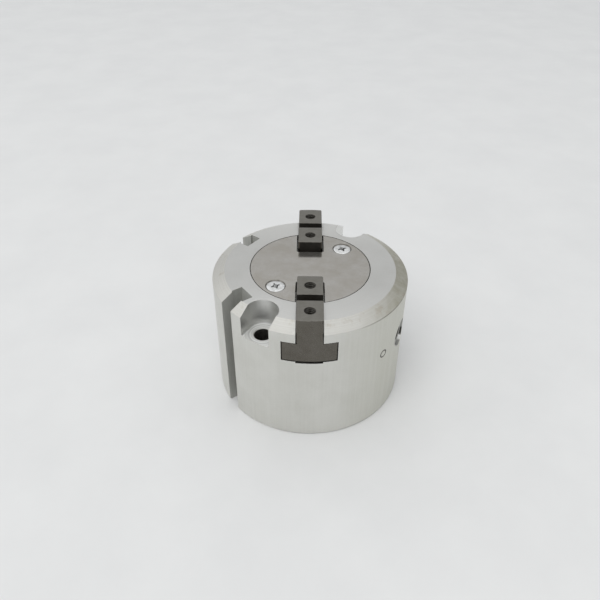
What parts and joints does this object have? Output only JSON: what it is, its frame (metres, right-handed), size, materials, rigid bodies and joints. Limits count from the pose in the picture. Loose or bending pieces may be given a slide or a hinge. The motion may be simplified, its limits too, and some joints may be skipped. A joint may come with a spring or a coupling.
{
  "type": "pneumatic parallel gripper",
  "caption": "Round-body pneumatic gripper. A piston and wedge cam slide opposed T-shaped steel fingers across the top; the grey body has sensor grooves, counterbored mounting slots and ports.",
  "frame": {"origin": "centre of the body's rear mounting face", "axes": "+Z along the body's axis towards the fingers, fingers slide along Y, sensor grooves on the -X side, air ports on the +X side"},
  "size_m": [0.062, 0.062, 0.047],
  "materials": {
    "anodised_aluminium": "satin clear anodised",
    "cover_steel": "ground",
    "black_steel": "hardened and blackened",
    "plated_steel": "bright zinc plated",
    "spring_steel": "phosphated",
    "black_rubber": "moulded nitrile",
    "urethane": "moulded urethane",
    "magnet_rubber": "filled magnet strip",
    "wear_resin": "matte"
  },
  "bodies": {
    "housing": {"body": "anodised_aluminium", "cover_plate": "cover_steel", "cover_screw_front": "plated_steel", "cover_screw_back": "plated_steel", "rod_seal": "black_rubber", "end_plate": "anodised_aluminium", "end_plate_o_ring": "black_rubber", "retaining_ring": "spring_steel"},
    "piston_unit": {"piston": "anodised_aluminium", "cam": "black_steel", "cam_bolt": "black_steel", "cam_pin": "plated_steel", "piston_seal": "black_rubber", "magnet_ring": "magnet_rubber", "wear_ring": "wear_resin", "front_bumper": "urethane", "rear_bumper": "urethane", "bolt_seal": "black_rubber"},
    "finger_front": {"finger_front": "black_steel"},
    "finger_back": {"finger_back": "black_steel"}
  },
  "joints": [
    {"name": "piston_slide", "type": "slide", "parent": "housing", "child": "piston_unit", "axis": [0, 0, 1], "range_m": [0, 0.005]},
    {"name": "finger_front_slide", "type": "slide", "parent": "housing", "child": "finger_front", "axis": [0, -1, 0], "range_m": [0, 0.004]},
    {"name": "finger_back_slide", "type": "slide", "parent": "housing", "child": "finger_back", "axis": [0, 1, 0], "range_m": [0, 0.004]}
  ],
  "couplings": [
    {"joint": "finger_front_slide", "follows": "piston_slide", "ratio": 0.8},
    {"joint": "finger_back_slide", "follows": "piston_slide", "ratio": 0.8}
  ]
}
